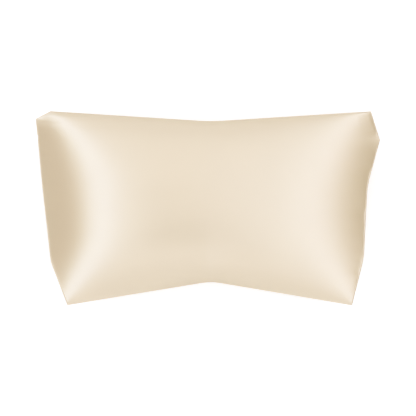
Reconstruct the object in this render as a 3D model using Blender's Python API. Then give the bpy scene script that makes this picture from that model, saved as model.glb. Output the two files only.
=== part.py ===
"""Satin pillowcase, king size, filled out and lying on its back.

One length of cloth is sewn into a bag, so the two faces meet in a seam all round. The fullness draws the long
sides in at the middle, and the cloth slopes down to the seam at each end, where the bag is nearly empty.

Metres, Z up. X runs along the case and Y across it. The origin is on the surface that the case lies on, under
the middle of its box.
"""

from typing import NamedTuple

import bmesh
import bpy
import numpy as np


class Turn(NamedTuple):
    """A turn of the seam, seen from above."""

    x: float
    y: float
    soft: float  # length of seam over which it turns


class Hollow(NamedTuple):
    """A shallow trough in the upper face, or with a negative depth a swelling."""

    x: float
    y: float
    long: float  # half length along X
    wide: float  # half width along Y
    depth: float


class Climb(NamedTuple):
    """How the cloth climbs from an end seam: nearly steadily up to a knee, then ever more gently."""

    knee: float  # distance from the seam at which half of the slope is left
    reach: float  # distance in which the slope beyond the knee shrinks to 1 / e


class Corners(NamedTuple):
    """A value at each corner of the case, blended evenly from one to the next."""

    lower_left: float
    lower_right: float
    upper_left: float
    upper_right: float


class Fullness(NamedTuple):
    """How far a face stands off the seam."""

    crown: float
    lean: float  # share of the crown that the right end has less than the middle, and the left end more
    left: Climb
    right: Climb


class Lift(NamedTuple):
    """How far an end of the seam lies above its mean height, at its lower corner, middle and upper corner."""

    low: float
    middle: float
    high: float


# Driving sizes. The cloth itself is 0.914 by 0.508 when it is flat and empty.
LENGTH = 0.893  # over the widest corners
WIDTH = 0.503  # across the corners
SEAM_RISE = 0.088  # seam above the surface at the middle of the case
UPPER = Fullness(0.108, 0.10, Climb(0.117, 0.086), Climb(0.060, 0.134))
LOWER = Fullness(0.122, -0.07, Climb(0.080, 0.080), Climb(0.080, 0.080))  # as it would hang over no surface
LEFT_LIFT = Lift(0.002, -0.014, 0.004)
RIGHT_LIFT = Lift(0.008, 0.002, -0.010)
LIFT_POWER = 3  # power by which a lift fades out along the case
ROLL_OFF = 0.014  # how roundly the lower face leaves the surface
FOOT_SLOPE = 0.02  # slope at which it leaves the four-cornered patch that it lies on

# The section across the case is a dome. A power of 0.5 gives it an elliptical shoulder, and 1 a parabola's. A
# higher flatness is flatter over the middle and steeper at the sides.
SHOULDER_POWER = 0.60
SLACK = Corners(0.80, 0.55, 0.15, -0.25)  # added to that at the corners, more where the filling doesn't reach
FLATNESS = 2.21
THINNEST = 1e-3  # of the dome, where it would be zero at the seam
NARROWING = Corners(0.70, 0.90, 0.95, 0.95)  # power of the dome by which the climbs shorten towards the sides

SETTLED = 0.10  # length over which the turns of the seam are smoothed in the cloth away from it
FADE = 0.020  # distance in which a sharp turn fades out of the cloth
WINDOW_SAMPLES = 33

# Grid of each face: cells along and across, closer together near the seam.
CELLS_LONG = 66
CELLS_WIDE = 38
EDGE_CROWDING = 0.62  # 0 spaces the grid lines evenly, 1 as the cosines of even angles
PATCH_FROM_END = 24  # cells between an end seam and the patch that the case lies on
PATCH_FROM_SIDE = 13
WELD = 1e-6

SATIN_COLOUR = (0.838, 0.736, 0.604, 1.0)
SATIN_ROUGHNESS = 0.42

# The four sides of the seam, each from its left or lower corner to the other. Corners have no softness, as
# the sides meet there.
HALF_L = LENGTH / 2
HALF_W = WIDTH / 2
LOWER_SIDE = (
    Turn(-0.3640, -HALF_W, 0.0),
    Turn(0.0078, -0.1905, 0.045),
    Turn(0.3720, -HALF_W, 0.0),
)
UPPER_SIDE = (
    Turn(-0.4080, 0.2505, 0.0),
    Turn(0.0078, 0.2245, 0.060),
    Turn(0.4240, HALF_W, 0.0),
)
LEFT_END = (
    Turn(-0.3640, -HALF_W, 0.0),
    Turn(-0.4095, -0.1400, 0.030),
    Turn(-0.4335, 0.0700, 0.120),
    Turn(-HALF_L, 0.2310, 0.0),
    Turn(-0.4080, 0.2505, 0.0),
)
RIGHT_END = (
    Turn(0.3720, -HALF_W, 0.0),
    Turn(0.4030, -0.1300, 0.040),
    Turn(0.4134, 0.0570, 0.050),
    Turn(HALF_L, 0.1765, 0.0),
    Turn(0.4240, HALF_W, 0.0),
)
HOLLOWS = (
    Hollow(0.060, -0.122, 0.060, 0.022, 0.0030),
    Hollow(0.120, 0.070, 0.160, 0.060, 0.0020),
    Hollow(-0.150, 0.080, 0.120, 0.050, -0.0020),
)


def spread(cells):
    """Grid lines from 0 to 1, drawn together near both ends."""
    even = np.linspace(0.0, 1.0, cells + 1)
    crowded = (1.0 - np.cos(np.pi * even)) / 2.0
    return (1.0 - EDGE_CROWDING) * even + EDGE_CROWDING * crowded


def mean_over(window, at, reached, corners):
    """The straight-sided line's mean over a window round each place, which closes towards the corners."""
    half = np.minimum(window / 2.0, np.minimum(at, reached[-1] - at))
    samples = at[:, None] + half[:, None] * np.linspace(-1.0, 1.0, WINDOW_SAMPLES)
    xs = np.interp(samples, reached, corners[:, 0]).mean(axis=1)
    ys = np.interp(samples, reached, corners[:, 1]).mean(axis=1)
    return np.stack([xs, ys], axis=1)


def along_side(turns, places):
    """Points on a side of the seam at the given places from 0 to 1 of its length, and on its settled line.

    The place nearest to each turn is moved onto it. Each point is a mean of the straight-sided line. On the
    seam its window is as long as the nearest turn is soft, and on the settled line it is the same all along.
    """
    corners = np.array([(t.x, t.y) for t in turns])
    steps = np.linalg.norm(np.diff(corners, axis=0), axis=1)
    reached = np.concatenate([[0.0], np.cumsum(steps)])
    nearest = [places[np.argmin(np.abs(places - where / reached[-1]))] for where in reached]
    at = np.interp(places, nearest, reached)
    softness = np.zeros_like(at)
    for turn, where in zip(turns[1:-1], reached[1:-1]):
        softness = np.where(np.abs(at - where) < turn.soft, turn.soft, softness)
    settled = np.full_like(at, SETTLED)
    return mean_over(softness, at, reached, corners), mean_over(settled, at, reached, corners)


def plan(u, v):
    """X and Y of every grid point, on the settled patch and on the one with the seam's sharp turns.

    The settled patch blends the four settled sides into each other. The difference between the seam and its
    settled line is added to it, and fades out away from the seam.
    """
    a = u[:, None, None]
    b = v[None, :, None]
    lower, lower_settled = (side[:, None, :] for side in along_side(LOWER_SIDE, u))
    upper, upper_settled = (side[:, None, :] for side in along_side(UPPER_SIDE, u))
    left, left_settled = (side[None, :, :] for side in along_side(LEFT_END, v))
    right, right_settled = (side[None, :, :] for side in along_side(RIGHT_END, v))
    between_sides = (1 - b) * lower_settled + b * upper_settled
    between_ends = (1 - a) * left_settled + a * right_settled
    low_corners = (1 - a) * lower[0, 0] + a * lower[-1, 0]
    high_corners = (1 - a) * upper[0, 0] + a * upper[-1, 0]
    settled = between_sides + between_ends - ((1 - b) * low_corners + b * high_corners)
    points = settled + (lower - lower_settled) * np.exp(-b * WIDTH / FADE)
    points += (upper - upper_settled) * np.exp(-(1 - b) * WIDTH / FADE)
    points += (left - left_settled) * np.exp(-a * LENGTH / FADE)
    points += (right - right_settled) * np.exp(-(1 - a) * LENGTH / FADE)
    return settled, points


def climbed(climb, away):
    """Share of the full height at a distance from an end.

    The slope goes as 1 / (1 + e ^ ((away - knee) / reach)).
    """
    left = np.log1p(np.exp((climb.knee - away) / climb.reach))
    return 1.0 - left / np.log1p(np.exp(climb.knee / climb.reach))


def blended(corners, along, across):
    """The corners' values blended over the case, at places from -1 to 1 along and across it."""
    right = (1.0 + along) / 2.0
    upper = (1.0 + across) / 2.0
    low = corners.lower_left * (1.0 - right) + corners.lower_right * right
    high = corners.upper_left * (1.0 - right) + corners.upper_right * right
    return low * (1.0 - upper) + high * upper


def fullness(face, settled, u, v):
    """How far a face stands off the seam: a dome across the case, times the climb from each end.

    A climb takes the distance from its end divided by a power of the dome, so it is shorter towards the long
    sides and runs out at the corners.
    """
    across = 2.0 * v[None, :] - 1.0
    along = 2.0 * u[:, None] - 1.0
    power = SHOULDER_POWER + blended(SLACK, along, across) * np.abs(along)
    dome = (1.0 - np.abs(across) ** FLATNESS) ** power
    height = face.crown * (1.0 - face.lean * along)
    narrowed = np.maximum(dome, THINNEST) ** blended(NARROWING, along, across)
    from_left = np.linalg.norm(settled - settled[:1], axis=2) / narrowed
    from_right = np.linalg.norm(settled - settled[-1:], axis=2) / narrowed
    return height * dome * climbed(face.left, from_left) * climbed(face.right, from_right)


def dented(points, rise):
    """The upper face's rise with the shallow hollows let into it, none of them at the seam."""
    lowered = rise.copy()
    for h in HOLLOWS:
        away = ((points[..., 0] - h.x) / h.long) ** 2 + ((points[..., 1] - h.y) / h.wide) ** 2
        lowered -= h.depth * np.exp(-away) * np.clip(rise / UPPER.crown, 0.0, 1.0)
    return lowered


def lifted(lift, b):
    """A parabola through an end's three lifts, for b from -1 at the lower corner to 1 at the upper."""
    bend = (lift.high + lift.low) / 2.0 - lift.middle
    return lift.middle + (lift.high - lift.low) / 2.0 * b + bend * b**2


def seam_level(u, v):
    """Height of the seam above the surface. The corners lie a little higher or lower, no two alike."""
    b = 2.0 * v[None, :] - 1.0
    left = (1.0 - u[:, None]) ** LIFT_POWER * lifted(LEFT_LIFT, b)
    right = u[:, None] ** LIFT_POWER * lifted(RIGHT_LIFT, b)
    return SEAM_RISE + left + right


def resting(height):
    """The height of the lower face, level where it lies on the surface and rolled up around that."""
    roll = np.clip((height + ROLL_OFF) / (2.0 * ROLL_OFF), 0.0, 1.0)
    return np.where(height > ROLL_OFF, height, ROLL_OFF * roll**2)


def off_patch(points):
    """How far each point is outside the patch that the case lies on, whose four corners are grid points."""
    i, j = PATCH_FROM_END, PATCH_FROM_SIDE
    corners = [points[i, j], points[-1 - i, j], points[-1 - i, -1 - j], points[i, -1 - j]]
    outside = np.zeros(points.shape[:2])
    for here, there in zip(corners, corners[1:] + corners[:1]):
        x_step, y_step = (there - here) / np.linalg.norm(there - here)
        beyond = (points[..., 0] - here[0]) * y_step - (points[..., 1] - here[1]) * x_step
        outside = np.maximum(outside, beyond)
    return outside


def corners_of(mesh, points, height):
    """Adds the vertices of one face of the bag, row by row, and returns them."""
    return [
        [mesh.verts.new((x, y, z)) for (x, y), z in zip(row, heights)]
        for row, heights in zip(points.tolist(), height.tolist())
    ]


def case_mesh():
    """The two faces of the bag, joined round the seam."""
    u = spread(CELLS_LONG)
    v = spread(CELLS_WIDE)
    settled, points = plan(u, v)
    seam = seam_level(u, v)
    upper = seam + dented(points, fullness(UPPER, settled, u, v))
    lower = np.maximum(resting(seam - fullness(LOWER, settled, u, v)), FOOT_SLOPE * off_patch(points))
    lower[[0, -1], :] = upper[[0, -1], :] = seam[[0, -1], :]
    lower[:, [0, -1]] = upper[:, [0, -1]] = seam[:, [0, -1]]

    mesh = bmesh.new()
    top = corners_of(mesh, points, upper)
    bottom = corners_of(mesh, points, lower)
    for i in range(CELLS_LONG):
        for j in range(CELLS_WIDE):
            mesh.faces.new((top[i][j], top[i + 1][j], top[i + 1][j + 1], top[i][j + 1]))
            mesh.faces.new((bottom[i][j + 1], bottom[i + 1][j + 1], bottom[i + 1][j], bottom[i][j]))
    bmesh.ops.remove_doubles(mesh, verts=mesh.verts, dist=WELD)
    bmesh.ops.recalc_face_normals(mesh, faces=mesh.faces)
    data = bpy.data.meshes.new("pillowcase")
    mesh.to_mesh(data)
    mesh.free()
    return data


def satin():
    """Champagne satin: pale, warm and softly glossy."""
    material = bpy.data.materials.new("satin")
    material.use_nodes = True
    shader = material.node_tree.nodes["Principled BSDF"]
    shader.inputs["Base Color"].default_value = SATIN_COLOUR
    shader.inputs["Roughness"].default_value = SATIN_ROUGHNESS
    shader.inputs["Metallic"].default_value = 0.0
    return material


def main():
    for thing in list(bpy.data.objects):
        bpy.data.objects.remove(thing)
    data = case_mesh()
    data.materials.append(satin())
    data.shade_smooth()
    bpy.context.scene.collection.objects.link(bpy.data.objects.new("pillowcase", data))


main()
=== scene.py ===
"""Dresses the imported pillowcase: a king-size satin case, filled out and lying on its back.

Everything is in metres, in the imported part's frame: X runs along the case, Y across it and Z up from the
surface that it lies on. The solid gives the place and the size. The cloth here follows the same seam, crown
and hollows on a finer grid, and adds the narrow turned edge and the small puckers of sewn satin.
"""

import logging
from dataclasses import dataclass
from enum import Enum

import bpy
import numpy as np
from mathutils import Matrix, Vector

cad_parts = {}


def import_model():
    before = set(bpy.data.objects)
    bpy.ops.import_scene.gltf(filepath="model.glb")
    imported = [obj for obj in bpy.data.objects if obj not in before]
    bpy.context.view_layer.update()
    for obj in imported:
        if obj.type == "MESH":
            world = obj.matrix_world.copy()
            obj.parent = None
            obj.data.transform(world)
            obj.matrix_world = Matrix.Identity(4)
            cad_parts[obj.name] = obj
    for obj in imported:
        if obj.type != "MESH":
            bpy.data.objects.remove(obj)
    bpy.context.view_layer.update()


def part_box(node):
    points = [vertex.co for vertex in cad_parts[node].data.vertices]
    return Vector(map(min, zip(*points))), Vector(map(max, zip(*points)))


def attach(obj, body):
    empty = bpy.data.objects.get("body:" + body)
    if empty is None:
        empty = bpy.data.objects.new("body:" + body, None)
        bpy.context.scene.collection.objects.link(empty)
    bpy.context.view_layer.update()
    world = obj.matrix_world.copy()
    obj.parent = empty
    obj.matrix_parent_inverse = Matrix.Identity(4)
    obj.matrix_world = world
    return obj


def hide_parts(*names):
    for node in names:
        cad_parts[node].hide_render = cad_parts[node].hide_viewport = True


log = logging.getLogger("pillowcase")

NODE = "pillowcase"
BODY = "root"
WAVE_TURN = 2.0 * np.pi / 20.0  # length of one wave of the wave texture at a scale of 1
SEEDS_PER_SIDE = 10  # how far apart the random seeds of the four sides of the seam lie
WHITE = (1.0, 1.0, 1.0, 1.0)


def wander(places: np.ndarray, pitch: float, seed: int) -> np.ndarray:
    """A smooth, uneven line of hills and dips between -1 and 1.

    Each pitch of length has a random height, and between two of them the line follows 3t^2 - 2t^3.

    Args:
        places: distances along the line, from 0 up.
        pitch: length from one random height to the next.
        seed: which line.

    Returns:
        The height at each place.
    """
    steps = places / pitch
    heights = np.random.default_rng(seed).uniform(-1.0, 1.0, int(steps.max()) + 2)
    before = np.floor(steps).astype(int)
    t = steps - before
    ease = t * t * (3.0 - 2.0 * t)
    return heights[before] * (1.0 - ease) + heights[before + 1] * ease


def reckon(
    tree: bpy.types.NodeTree, operation: str, *terms: bpy.types.NodeSocket | float
) -> bpy.types.NodeSocket:
    """Adds one math node to a node tree.

    Args:
        tree: the node tree.
        operation: what the node works out.
        terms: its inputs in order, each the output of another node or a number.

    Returns:
        Its output.
    """
    node = tree.nodes.new("ShaderNodeMath")
    node.operation = operation
    for entry, term in zip(node.inputs, terms):
        if isinstance(term, bpy.types.NodeSocket):
            tree.links.new(term, entry)
        else:
            entry.default_value = term
    return node.outputs["Value"]


def split_view(
    tree: bpy.types.NodeTree, lighting: bpy.types.NodeSocket, shown: bpy.types.NodeSocket, output: str
) -> None:
    """Gives a floor or a world two shaders, one for the light that it sends and one for the camera.

    Args:
        tree: its node tree.
        lighting: the shader that lights the case.
        shown: the shader that the camera sees.
        output: name of the node that both end in.
    """
    rays = tree.nodes.new("ShaderNodeLightPath")
    either = tree.nodes.new("ShaderNodeMixShader")
    tree.links.new(rays.outputs["Is Camera Ray"], either.inputs["Fac"])
    tree.links.new(lighting, either.inputs[1])
    tree.links.new(shown, either.inputs[2])
    tree.links.new(either.outputs["Shader"], tree.nodes[output].inputs["Surface"])


class Face(Enum):
    """The two faces of the bag."""

    UPPER = "upper"
    LOWER = "lower"


@dataclass(frozen=True)
class Turn:
    """A turn of the seam, seen from above."""

    x: float
    y: float
    soft: float = 0.0  # length of seam over which it turns


@dataclass(frozen=True)
class Hollow:
    """A shallow trough in the upper face, or with a negative depth a swelling: a bell of that depth."""

    x: float
    y: float
    long: float  # half length along X
    wide: float  # half width along Y
    depth: float

    def drop(self, points: np.ndarray) -> np.ndarray:
        """How far it lowers each point: depth times e to the minus (dx / long)^2 + (dy / wide)^2."""
        dx = (points[..., 0] - self.x) / self.long
        dy = (points[..., 1] - self.y) / self.wide
        return self.depth * np.exp(-(dx**2) - dy**2)


@dataclass(frozen=True)
class Grid:
    """The grid that both faces lie on, seen from above."""

    u: np.ndarray  # places along, from 0 to 1
    v: np.ndarray  # places across, from 0 to 1
    settled: np.ndarray  # X and Y at each crossing, without the sharp turns of the seam
    points: np.ndarray  # X and Y at each crossing

    @staticmethod
    def from_sides(plan: np.ndarray) -> tuple[np.ndarray, np.ndarray, np.ndarray, np.ndarray]:
        """Distances of every point from the left end, the right end, the lower side and the upper side."""
        return (
            np.linalg.norm(plan - plan[:1], axis=2),
            np.linalg.norm(plan - plan[-1:], axis=2),
            np.linalg.norm(plan - plan[:, :1], axis=2),
            np.linalg.norm(plan - plan[:, -1:], axis=2),
        )


@dataclass(frozen=True)
class Lift:
    """How far an end of the seam lies above its mean height, at its two corners and its middle."""

    low: float
    middle: float
    high: float

    def across(self, b: np.ndarray) -> np.ndarray:
        """The parabola through the three, for b from -1 at the lower corner to 1 at the upper."""
        bend = (self.high + self.low) / 2.0 - self.middle
        return self.middle + (self.high - self.low) / 2.0 * b + bend * b**2


@dataclass(frozen=True)
class Seam:
    """The seam line round the two faces: four sides of straight stretches, joined by soft turns."""

    lower: tuple[Turn, ...]
    upper: tuple[Turn, ...]
    left: tuple[Turn, ...]
    right: tuple[Turn, ...]
    left_lift: Lift
    right_lift: Lift
    rise: float = 0.088  # above the surface at the middle of the case
    settled: float = 0.10  # length over which the turns are smoothed in the cloth away from the seam
    fade: float = 0.020  # distance in which a sharp turn fades out of the cloth
    lift_power: int = 3  # how fast the lift of an end fades along the case
    window_samples: int = 33

    def side(self, turns: tuple[Turn, ...], places: np.ndarray) -> tuple[np.ndarray, np.ndarray]:
        """Points on one side, at places from 0 to 1 of its length.

        The place nearest to each turn is moved onto it. Each point is the mean of the straight-sided line
        over a window, which closes towards the corners. The window is as long as the turn near it is soft, or
        for the settled line the same all along.

        Args:
            turns: the side's corners and turns in order.
            places: rising shares of its length.

        Returns:
            One X and Y for each place on the seam itself, and the same on the settled line.
        """
        corners = np.array([(t.x, t.y) for t in turns])
        steps = np.linalg.norm(np.diff(corners, axis=0), axis=1)
        reached = np.concatenate([[0.0], np.cumsum(steps)])
        length = reached[-1]
        nearest = [places[np.argmin(np.abs(places - where / length))] for where in reached]
        at = np.interp(places, nearest, reached)
        softness = np.zeros_like(at)
        for turn, where in zip(turns[1:-1], reached[1:-1]):
            softness = np.where(np.abs(at - where) < turn.soft, turn.soft, softness)

        def mean_over(window: np.ndarray) -> np.ndarray:
            """The line's mean over a window round each place."""
            half = np.minimum(window / 2.0, np.minimum(at, length - at))
            samples = at[:, None] + half[:, None] * np.linspace(-1.0, 1.0, self.window_samples)
            xs = np.interp(samples, reached, corners[:, 0]).mean(axis=1)
            ys = np.interp(samples, reached, corners[:, 1]).mean(axis=1)
            return np.stack([xs, ys], axis=1)

        return mean_over(softness), mean_over(np.full_like(at, self.settled))

    def plan(self, u: np.ndarray, v: np.ndarray, length: float, width: float) -> Grid:
        """The grid of both faces in plan.

        It is the patch that blends the four settled sides into each other: the blend of the long sides, plus
        the blend of the ends, less the blend of the four corners. The difference between the seam and its
        settled line is added, times e to the minus distance / fade.

        Args:
            u: places along the case.
            v: places across it.
            length: what u spans.
            width: what v spans.

        Returns:
            The grid.
        """
        a = u[:, None, None]
        b = v[None, :, None]
        lower, lower_settled = (side[:, None, :] for side in self.side(self.lower, u))
        upper, upper_settled = (side[:, None, :] for side in self.side(self.upper, u))
        left, left_settled = (side[None, :, :] for side in self.side(self.left, v))
        right, right_settled = (side[None, :, :] for side in self.side(self.right, v))
        between_sides = (1 - b) * lower_settled + b * upper_settled
        between_ends = (1 - a) * left_settled + a * right_settled
        low_corners = (1 - a) * lower[0, 0] + a * lower[-1, 0]
        high_corners = (1 - a) * upper[0, 0] + a * upper[-1, 0]
        settled = between_sides + between_ends - ((1 - b) * low_corners + b * high_corners)
        points = settled + (lower - lower_settled) * np.exp(-b * width / self.fade)
        points += (upper - upper_settled) * np.exp(-(1 - b) * width / self.fade)
        points += (left - left_settled) * np.exp(-a * length / self.fade)
        points += (right - right_settled) * np.exp(-(1 - a) * length / self.fade)
        return Grid(u, v, settled, points)

    def level(self, u: np.ndarray, v: np.ndarray) -> np.ndarray:
        """Height of the seam over the whole patch, where the lift of an end fades as a power of nearness."""
        b = 2.0 * v[None, :] - 1.0
        left = (1.0 - u[:, None]) ** self.lift_power * self.left_lift.across(b)
        right = u[:, None] ** self.lift_power * self.right_lift.across(b)
        return self.rise + left + right


@dataclass(frozen=True)
class Corners:
    """A value at each corner of the case, blended evenly from one to the next."""

    lower_left: float
    lower_right: float
    upper_left: float
    upper_right: float

    def over(self, along: np.ndarray, across: np.ndarray) -> np.ndarray:
        """The value at places from -1 to 1 along and across: the four, each weighted by how near it is."""
        right = (1.0 + along) / 2.0
        upper = (1.0 + across) / 2.0
        low = self.lower_left * (1.0 - right) + self.lower_right * right
        high = self.upper_left * (1.0 - right) + self.upper_right * right
        return low * (1.0 - upper) + high * upper


@dataclass(frozen=True)
class Climb:
    """How the cloth climbs from one end seam: at a nearly steady slope to a knee, then ever more gently."""

    knee: float  # distance from the seam at which half of the slope is left
    reach: float  # distance in which the slope beyond the knee shrinks to 1 / e

    def share(self, away: np.ndarray) -> np.ndarray:
        """Share of the full height, for a slope that goes as 1 / (1 + e ^ ((away - knee) / reach))."""
        still_ahead = np.log1p(np.exp((self.knee - away) / self.reach))
        return 1.0 - still_ahead / np.log1p(np.exp(self.knee / self.reach))


@dataclass(frozen=True)
class Fullness:
    """How far one face stands off the seam."""

    crown: float
    left: Climb
    right: Climb
    slack: Corners = Corners(0.80, 0.55, 0.15, -0.25)  # added to the power towards the ends
    narrowing: Corners = Corners(0.70, 0.90, 0.95, 0.95)  # how much the climbs shorten to the sides
    power: float = 0.60  # 0.5 gives the section across an elliptical shoulder, 1 a parabola's
    flatness: float = 2.21  # higher is flatter over the middle and steeper at the sides
    lean: float = 0.0  # share of the crown that the right end has less than the middle, and the left more
    least_dome: float = 1e-3  # keeps the climbs from shrinking to nothing at the seam

    def rise(self, grid: Grid, u: np.ndarray, v: np.ndarray) -> np.ndarray:
        """Height off the seam: a crown across the case, times the climb from the left end and from the right.

        The crown is its height times the dome (1 - |across| ^ flatness) ^ (power + slack), with no slack in
        the middle of the case. Each climb takes the distance from its end divided by dome ^ narrowing, so
        that it is shorter towards the sides and runs out at the corners.

        Args:
            grid: the grid of the face.
            u: places along the case, 0 and 1 at the stitching.
            v: places across it, 0 and 1 at the stitching.

        Returns:
            The height of each grid point.
        """
        across = 2.0 * v[None, :] - 1.0
        along = 2.0 * u[:, None] - 1.0
        slack = self.slack.over(along, across) * np.abs(along)
        dome = (1.0 - np.abs(across) ** self.flatness) ** (self.power + slack)
        height = self.crown * (1.0 - self.lean * along)
        from_left, from_right, _, _ = grid.from_sides(grid.settled)
        narrowed = np.maximum(dome, self.least_dome) ** self.narrowing.over(along, across)
        return height * dome * self.left.share(from_left / narrowed) * self.right.share(from_right / narrowed)


@dataclass(frozen=True)
class Edge:
    """The narrow turned edge outside the stitching, and the puckers that the stitches draw into the cloth."""

    width: float = 0.0022
    thickness: float = 0.0013
    stitched: float = 0.0005  # thickness where the stitches pull it in
    droop: float = 0.5  # fall over run, as the edge follows the slope of the upper face
    groove: float = 0.0008
    rim_lines: tuple[float, ...] = (0.0, 0.12, 0.5, 1.0)  # grid lines over its rounded rim, as shares of it
    level_line: float = 0.65  # grid line between the rim and the stitches, as a share of the width
    pucker_depth: float = 0.0007
    pucker_pitch: float = 0.011
    pucker_reach: float = 0.016
    pucker_onset: float = 0.2  # share of the reach in which they rise at the stitches
    coarse_pitch: float = 3.1  # pitch of the coarse waves among them, over that of the fine ones
    coarse_waves: float = 0.6
    fine_waves: float = 0.7

    def places(self, cells: int, length: float, crowding: float) -> np.ndarray:
        """Grid lines from 0 to 1: a few across each turned edge, and the rest drawn together towards it.

        The inner lines are a mean of even lines and of the cosines of even angles.

        Args:
            cells: how many cells lie between the two edges.
            length: what 0 to 1 spans.
            crowding: 0 for even lines, 1 for cosines.

        Returns:
            Rising places.
        """
        lines = [share * self.thickness / 2.0 for share in self.rim_lines]
        lines += [self.level_line * self.width, self.width, self.width + self.groove / 2.0]
        rim = np.array(lines) / length
        start = (self.width + self.groove) / length
        even = np.linspace(0.0, 1.0, cells + 1)
        crowded = (1.0 - np.cos(np.pi * even)) / 2.0
        inner = start + (1.0 - 2.0 * start) * ((1.0 - crowding) * even + crowding * crowded)
        return np.concatenate([rim, inner, 1.0 - rim[::-1]])

    def inside(self, places: np.ndarray, length: float) -> np.ndarray:
        """The places again, with 0 and 1 at the stitching."""
        start = (self.width + self.groove / 2.0) / length
        return np.clip((places - start) / (1.0 - 2.0 * start), 0.0, 1.0)

    def stand(self, away: np.ndarray) -> np.ndarray:
        """Half the thickness of the edge at a distance from its outermost line.

        A quarter circle, then level, then a cosine down to the stitches, which goes on level inside them.
        """
        half = self.thickness / 2.0
        rounded = np.sqrt(np.maximum(half**2 - np.maximum(half - away, 0.0) ** 2, 0.0))
        into = np.clip((away - self.width) / (self.groove / 2.0), 0.0, 1.0)
        pulled = (half - self.stitched / 2.0) * (1.0 - np.cos(np.pi * into)) / 2.0
        return rounded - pulled

    def puckers(self, grid: Grid, seed: int) -> np.ndarray:
        """Small ridges square to the seam that die away from it: depth times e to the minus distance / reach.

        At the stitches they rise from nothing, by 1 less e to the minus distance / (onset times reach).

        Args:
            grid: the grid of the face.
            seed: which set of them.

        Returns:
            How far each point is raised.
        """
        points = grid.points
        rims = (points[0], points[-1], points[:, 0], points[:, -1])
        raised = np.zeros(points.shape[:2])
        for number, (rim, away) in enumerate(zip(rims, grid.from_sides(points))):
            run = np.concatenate([[0.0], np.cumsum(np.linalg.norm(np.diff(rim, axis=0), axis=1))])
            side_seed = seed + SEEDS_PER_SIDE * number
            coarse = wander(run, self.coarse_pitch * self.pucker_pitch, side_seed)
            fine = wander(run, self.pucker_pitch, side_seed + 1)
            waves = self.coarse_waves * coarse + self.fine_waves * fine
            past = np.maximum(away - self.width - self.groove / 2.0, 0.0)
            onset = 1.0 - np.exp(-past / (self.pucker_onset * self.pucker_reach))
            shape = np.exp(-past / self.pucker_reach) * onset
            is_end = number < 2  # the two ends come before the two long sides
            raised += self.pucker_depth * shape * (waves[None, :] if is_end else waves[:, None])
        return raised


@dataclass(frozen=True)
class Satin:
    """Champagne satin: pale, warm, and softly glossy, with the fine ribs of its floating threads."""

    colour: tuple[float, float, float] = (0.795, 0.625, 0.375)
    shade: tuple[float, float, float] = (0.775, 0.605, 0.360)
    roughness: float = 0.28
    gloss_index: float = 2.45
    gloss_level: float = 1.0
    sheen: float = 0.05
    mottle_scale: float = 9.0
    mottle_detail: float = 3.0
    mottle_ends: tuple[float, float] = (0.25, 0.75)  # noise at which shade ends and full colour begins
    rib_pitch: float = 0.0011
    rib_depth: float = 0.00007
    rib_strength: float = 0.40
    rib_waver: float = 0.6
    rib_detail: float = 2.0

    def material(self) -> bpy.types.Material:
        """Builds the node material.

        Returns:
            A Principled material on the piece's own coordinates.
        """
        made = bpy.data.materials.new("satin_cloth")
        made.use_nodes = True
        tree = made.node_tree
        shader = tree.nodes["Principled BSDF"]
        shader.inputs["Roughness"].default_value = self.roughness
        shader.inputs["IOR"].default_value = self.gloss_index
        shader.inputs["Specular IOR Level"].default_value = self.gloss_level
        shader.inputs["Sheen Weight"].default_value = self.sheen

        place = tree.nodes.new("ShaderNodeTexCoord")
        mottle = tree.nodes.new("ShaderNodeTexNoise")
        mottle.inputs["Scale"].default_value = self.mottle_scale
        mottle.inputs["Detail"].default_value = self.mottle_detail
        tint = tree.nodes.new("ShaderNodeValToRGB")
        for number, colour in enumerate((self.shade, self.colour)):
            tint.color_ramp.elements[number].position = self.mottle_ends[number]
            tint.color_ramp.elements[number].color = (*colour, 1.0)
        tree.links.new(place.outputs["Object"], mottle.inputs["Vector"])
        tree.links.new(mottle.outputs["Fac"], tint.inputs["Fac"])
        tree.links.new(tint.outputs["Color"], shader.inputs["Base Color"])

        ribs = tree.nodes.new("ShaderNodeTexWave")
        ribs.bands_direction = "Y"
        ribs.inputs["Scale"].default_value = WAVE_TURN / self.rib_pitch
        ribs.inputs["Distortion"].default_value = self.rib_waver
        ribs.inputs["Detail"].default_value = self.rib_detail
        relief = tree.nodes.new("ShaderNodeBump")
        relief.inputs["Strength"].default_value = self.rib_strength
        relief.inputs["Distance"].default_value = self.rib_depth
        tree.links.new(place.outputs["UV"], ribs.inputs["Vector"])
        tree.links.new(ribs.outputs["Fac"], relief.inputs["Height"])
        tree.links.new(relief.outputs["Normal"], shader.inputs["Normal"])
        return made


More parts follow.
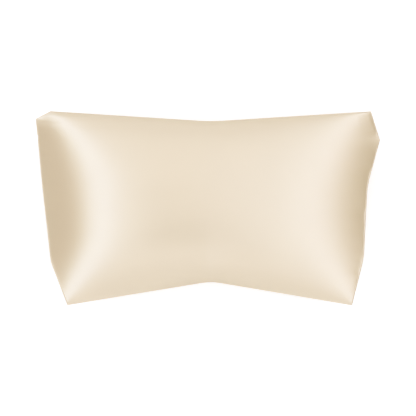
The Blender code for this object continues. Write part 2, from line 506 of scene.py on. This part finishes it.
@dataclass
class Case:
    """The bag of cloth: two faces that meet at the seam, full in the middle and thin at the ends."""

    seam: Seam
    upper: Fullness
    lower: Fullness
    hollows: tuple[Hollow, ...]
    edge: Edge
    satin: Satin
    length: float
    width: float
    cells_long: int = 190
    cells_wide: int = 116
    crowding: float = 0.62
    roll_off: float = 0.014  # how roundly the lower face leaves the surface
    upper_seed: int = 11
    lower_seed: int = 57
    uv_step: float = 1.1  # from one face to the other in the UV map, over the length

    def grid(self) -> Grid:
        """The grid that both faces share in plan."""
        u = self.edge.places(self.cells_long, self.length, self.crowding)
        v = self.edge.places(self.cells_wide, self.width, self.crowding)
        return self.seam.plan(u, v, self.length, self.width)

    def heights(self, grid: Grid, face: Face) -> np.ndarray:
        """Z of every grid point of one face.

        The upper face stands off the seam by half the edge's thickness, the rise and the puckers, less the
        hollows, which fade out with the rise. The lower face hangs from the seam in the same way, without
        hollows, and rolls off level where it meets the surface.

        Args:
            grid: the grid of the face.
            face: which face.

        Returns:
            Heights above the surface, the same for both faces all round the rim.
        """
        inner_u = self.edge.inside(grid.u, self.length)
        inner_v = self.edge.inside(grid.v, self.width)
        away = np.minimum.reduce(grid.from_sides(grid.points))
        level = self.seam.level(grid.u, grid.v)
        level -= self.edge.droop * np.maximum(self.edge.width - away, 0.0)
        stand = self.edge.stand(away)
        if face is Face.UPPER:
            rise = self.upper.rise(grid, inner_u, inner_v)
            drop = sum(hollow.drop(grid.points) for hollow in self.hollows)
            z = level + stand + rise - drop * np.clip(rise / self.upper.crown, 0.0, 1.0)
            return z + self.edge.puckers(grid, self.upper_seed)
        hang = level - stand - self.lower.rise(grid, inner_u, inner_v)
        hang -= self.edge.puckers(grid, self.lower_seed)
        roll = np.clip((hang + self.roll_off) / (2.0 * self.roll_off), 0.0, 1.0)
        return np.where(hang > self.roll_off, hang, self.roll_off * roll**2)

    def mesh(self) -> bpy.types.Mesh:
        """The two faces as grids of quads, welded round the rim.

        Returns:
            One closed mesh with its faces outwards and a UV map in metres of cloth.
        """
        grid = self.grid()
        rows, columns = len(grid.u), len(grid.v)
        index = np.arange(rows * columns).reshape(rows, columns)
        rim = np.zeros((rows, columns), bool)
        rim[[0, -1], :] = True
        rim[:, [0, -1]] = True
        under = np.where(rim, index, 0)
        under[~rim] = rows * columns + np.arange(int((~rim).sum()))
        top = np.dstack([grid.points, self.heights(grid, Face.UPPER)])
        bottom = np.dstack([grid.points, self.heights(grid, Face.LOWER)])
        vertices = np.concatenate([top.reshape(-1, 3), bottom[~rim]])

        def quads(numbers: np.ndarray) -> np.ndarray:
            """The four corners of every cell of a grid of numbers."""
            corners = [numbers[:-1, :-1], numbers[1:, :-1], numbers[1:, 1:], numbers[:-1, 1:]]
            return np.stack(corners, axis=-1).reshape(-1, 4)

        faces = np.concatenate([quads(index), quads(under)[:, ::-1]])
        made = bpy.data.meshes.new("satin_case")
        made.from_pydata(vertices.tolist(), [], faces.tolist())
        along, across = np.meshgrid(grid.u * self.length, grid.v * self.width, indexing="ij")
        first = np.stack([along, across], axis=-1).reshape(-1, 2)
        second = first + np.array([self.length * self.uv_step, 0.0])
        uv = np.concatenate([first[quads(index)], second[quads(index)][:, ::-1]])
        made.uv_layers.new(name="cloth").uv.foreach_set("vector", uv.astype(np.float32).ravel())
        made.update()
        made.shade_smooth()
        return made

    def build(self) -> bpy.types.Object:
        """Makes the piece, dresses it, hangs it under the body and hides the imported part.

        Returns:
            The dressed case.
        """
        piece = bpy.data.objects.new("satin_case", self.mesh())
        bpy.context.scene.collection.objects.link(piece)
        piece.data.materials.append(self.satin.material())
        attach(piece, BODY)
        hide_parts(NODE)
        log.info("%s: %d points, %d faces", piece.name, len(piece.data.vertices), len(piece.data.polygons))
        return piece


@dataclass(frozen=True)
class Band:
    """A strip of the room that runs along Y, and its light."""

    angle: float  # degrees from overhead, towards the right
    light: float
    blue: float = 1.0  # blue over green of its light
    red: float = 1.0  # red over green

    @property
    def place(self) -> float:
        """Where it lies on a ramp from 0 for level on the left to 1 for level on the right."""
        return self.angle / 180.0 + 0.5

    def colour(self, brightest: float) -> tuple[float, float, float, float]:
        """Its light as a colour, as a share of the brightest value in any band."""
        share = self.light / brightest
        return (self.red * share, share, self.blue * share, 1.0)


@dataclass(frozen=True)
class Studio:
    """The pale floor, the lit room and the camera straight above the case."""

    walls: tuple[Band, ...]
    room_light: float = 0.939
    end_dimming: float = 0.14  # share of light lost level with the surface along Y
    dimming_power: float = 4.0  # how late that loss sets in on the way down from overhead
    dim_at: tuple[float, float, float] = (-0.05, -0.30, 1.0)  # direction of a dim spot nearly overhead
    dim_reach: tuple[float, float, float] = (0.25, 0.30, 100.0)  # its half sizes, too tall for Z to count
    dim_share: float = 0.58  # share of light lost at its middle
    floor_size: float = 14.0
    floor_glow: float = 0.30
    floor_colour: tuple[float, float, float] = (0.93, 0.93, 0.93)
    floor_roughness: float = 0.9
    floor_bounce: tuple[float, float, float] = (0.86, 0.83, 0.78)
    picture_width: float = 1.0775  # what the picture's width spans at the height of the seam
    lens: float = 85.0
    sensor: float = 36.0

    def floor(self) -> bpy.types.Object:
        """A plain pale floor under the case."""
        half = self.floor_size / 2
        corners = [(-half, -half, 0), (half, -half, 0), (half, half, 0), (-half, half, 0)]
        data = bpy.data.meshes.new("floor")
        data.from_pydata(corners, [], [(0, 1, 2, 3)])
        made = bpy.data.objects.new("floor", data)
        bpy.context.scene.collection.objects.link(made)
        white = bpy.data.materials.new("floor_white")
        white.use_nodes = True
        tree = white.node_tree
        shown = tree.nodes["Principled BSDF"]
        shown.inputs["Base Color"].default_value = (*self.floor_colour, 1.0)
        shown.inputs["Roughness"].default_value = self.floor_roughness
        shown.inputs["Specular IOR Level"].default_value = 0.0
        shown.inputs["Emission Color"].default_value = WHITE
        shown.inputs["Emission Strength"].default_value = self.floor_glow
        bounced = tree.nodes.new("ShaderNodeBsdfDiffuse")
        bounced.inputs["Color"].default_value = (*self.floor_bounce, 1.0)
        split_view(tree, bounced.outputs["BSDF"], shown.outputs["BSDF"], "Material Output")
        data.materials.append(white)
        return made

    def camera(self, seam_height: float) -> bpy.types.Object:
        """The camera, straight above the middle of the case, with +Y up in the picture."""
        data = bpy.data.cameras.new("camera")
        data.lens = self.lens
        data.sensor_width = self.sensor
        made = bpy.data.objects.new("camera", data)
        bpy.context.scene.collection.objects.link(made)
        made.location = (0.0, 0.0, seam_height + self.picture_width * self.lens / self.sensor)
        bpy.context.scene.camera = made
        return made

    def wall_colour(
        self, tree: bpy.types.NodeTree, x: bpy.types.NodeSocket, brightest: float
    ) -> bpy.types.NodeSocket:
        """Colour of the light from a direction, which depends on how far it leans left or right.

        Args:
            tree: the world's node tree.
            x: X of the direction. Its arcsine is the lean.
            brightest: the highest value in any band.

        Returns:
            The colour, read from a ramp that goes softly from band to band.
        """
        share = tree.nodes.new("ShaderNodeMapRange")
        share.inputs["From Min"].default_value = -np.pi / 2
        share.inputs["From Max"].default_value = np.pi / 2
        ramp = tree.nodes.new("ShaderNodeValToRGB")
        ramp.color_ramp.interpolation = "EASE"
        for band in self.walls[1:-1]:
            ramp.color_ramp.elements.new(band.place)
        for element, band in zip(ramp.color_ramp.elements, self.walls):
            element.color = band.colour(brightest)
        tree.links.new(reckon(tree, "ARCSINE", x), share.inputs["Value"])
        tree.links.new(share.outputs["Result"], ramp.inputs["Fac"])
        return ramp.outputs["Color"]

    def strength(
        self, tree: bpy.types.NodeTree, direction: bpy.types.NodeSocket, y: bpy.types.NodeSocket, full: float
    ) -> bpy.types.NodeSocket:
        """Strength of the light from a direction.

        It falls by a power of Y, and round a dim spot evenly from the rim of the spot to its middle.

        Args:
            tree: the world's node tree.
            direction: the direction.
            y: its Y.
            full: strength where nothing is lost.

        Returns:
            The strength.
        """
        falling = reckon(tree, "POWER", reckon(tree, "ABSOLUTE", y), self.dimming_power)
        by_y = reckon(tree, "MULTIPLY_ADD", falling, -self.end_dimming * full, full)
        from_spot = tree.nodes.new("ShaderNodeMapping")
        from_spot.vector_type = "TEXTURE"
        from_spot.inputs["Location"].default_value = self.dim_at
        from_spot.inputs["Scale"].default_value = self.dim_reach
        spot = tree.nodes.new("ShaderNodeTexGradient")
        spot.gradient_type = "SPHERICAL"
        tree.links.new(direction, from_spot.inputs["Vector"])
        tree.links.new(from_spot.outputs["Vector"], spot.inputs["Vector"])
        by_spot = reckon(tree, "MULTIPLY_ADD", spot.outputs["Fac"], -self.dim_share, 1.0)
        return reckon(tree, "MULTIPLY", by_y, by_spot)

    def world(self) -> None:
        """A white room with long lights on the left and the right, parallel to Y, and a dim spot overhead.

        The camera itself sees plain white.
        """
        world = bpy.data.worlds.new("white_room")
        world.use_nodes = True
        tree = world.node_tree
        direction = tree.nodes.new("ShaderNodeTexCoord").outputs["Generated"]
        parts = tree.nodes.new("ShaderNodeSeparateXYZ")
        tree.links.new(direction, parts.inputs["Vector"])
        brightest = max(band.light * max(band.red, band.blue, 1.0) for band in self.walls)
        colour = self.wall_colour(tree, parts.outputs["X"], brightest)
        strength = self.strength(tree, direction, parts.outputs["Y"], self.room_light * brightest)
        room = tree.nodes["Background"]
        tree.links.new(colour, room.inputs["Color"])
        tree.links.new(strength, room.inputs["Strength"])
        plain = tree.nodes.new("ShaderNodeBackground")
        plain.inputs["Color"].default_value = WHITE
        split_view(tree, room.outputs["Background"], plain.outputs["Background"], "World Output")
        bpy.context.scene.world = world

    def build(self, seam_height: float) -> None:
        """Sets up floor, light and camera.

        Args:
            seam_height: height at which the picture spans picture_width.
        """
        self.floor()
        self.world()
        self.camera(seam_height)
        scene = bpy.context.scene
        scene.view_settings.view_transform = "Standard"
        scene.view_settings.look = "None"


def seam_of(low: Vector, high: Vector) -> Seam:
    """The seam line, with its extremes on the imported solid's box.

    Args:
        low: the solid's lowest corner.
        high: its highest corner.

    Returns:
        The four sides of the seam.
    """
    return Seam(
        lower=(Turn(-0.3640, low.y), Turn(0.0078, -0.1905, 0.045), Turn(0.3720, low.y)),
        upper=(Turn(-0.4080, 0.2505), Turn(0.0078, 0.2245, 0.060), Turn(0.4240, high.y)),
        left=(
            Turn(-0.3640, low.y),
            Turn(-0.4095, -0.1400, 0.030),
            Turn(-0.4335, 0.0700, 0.120),
            Turn(low.x, 0.2310),
            Turn(-0.4080, 0.2505),
        ),
        right=(
            Turn(0.3720, low.y),
            Turn(0.4030, -0.1300, 0.040),
            Turn(0.4134, 0.0570, 0.050),
            Turn(high.x, 0.1765),
            Turn(0.4240, high.y),
        ),
        left_lift=Lift(0.002, -0.014, 0.004),
        right_lift=Lift(0.008, 0.002, -0.010),
    )


def main() -> None:
    """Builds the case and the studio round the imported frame."""
    logging.basicConfig(level=logging.INFO, format="%(name)s: %(message)s")
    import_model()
    low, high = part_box(NODE)
    case = Case(
        seam=seam_of(low, high),
        upper=Fullness(
            crown=0.108,
            left=Climb(0.117, 0.086),
            right=Climb(0.060, 0.134),
            lean=0.10,
        ),
        lower=Fullness(
            crown=0.122,
            left=Climb(0.080, 0.080),
            right=Climb(0.080, 0.080),
            lean=-0.07,
        ),
        hollows=(
            Hollow(0.060, -0.122, 0.060, 0.022, 0.0030),
            Hollow(0.120, 0.070, 0.160, 0.060, 0.0020),
            Hollow(-0.150, 0.080, 0.120, 0.050, -0.0020),
        ),
        edge=Edge(),
        satin=Satin(),
        length=high.x - low.x,
        width=high.y - low.y,
    )
    case.build()
    Studio(
        walls=(
            Band(-90, 0.32, blue=0.88, red=1.06),
            Band(-63.5, 0.22, blue=0.95, red=1.42),
            Band(-57, 0.72, blue=0.68, red=1.13),
            Band(-51, 1.63, blue=1.12, red=0.915),
            Band(-40, 1.58, blue=1.175, red=0.898),
            Band(-26, 1.125, blue=1.045, red=0.98),
            Band(-14, 1.05, blue=1.015, red=1.003),
            Band(0, 1.01, blue=0.985, red=1.033),
            Band(14, 1.09, blue=1.045, red=0.995),
            Band(26, 1.225, blue=1.04, red=0.978),
            Band(36, 1.62, blue=1.125, red=0.935),
            Band(43.5, 1.61, blue=1.115, red=0.96),
            Band(49.5, 0.82, blue=0.70, red=1.20),
            Band(54.2, 0.09, blue=0.5, red=1.5),
            Band(90, 0.09, blue=0.5, red=1.5),
        ),
    ).build(case.seam.rise)


if __name__ == "__main__":
    main()
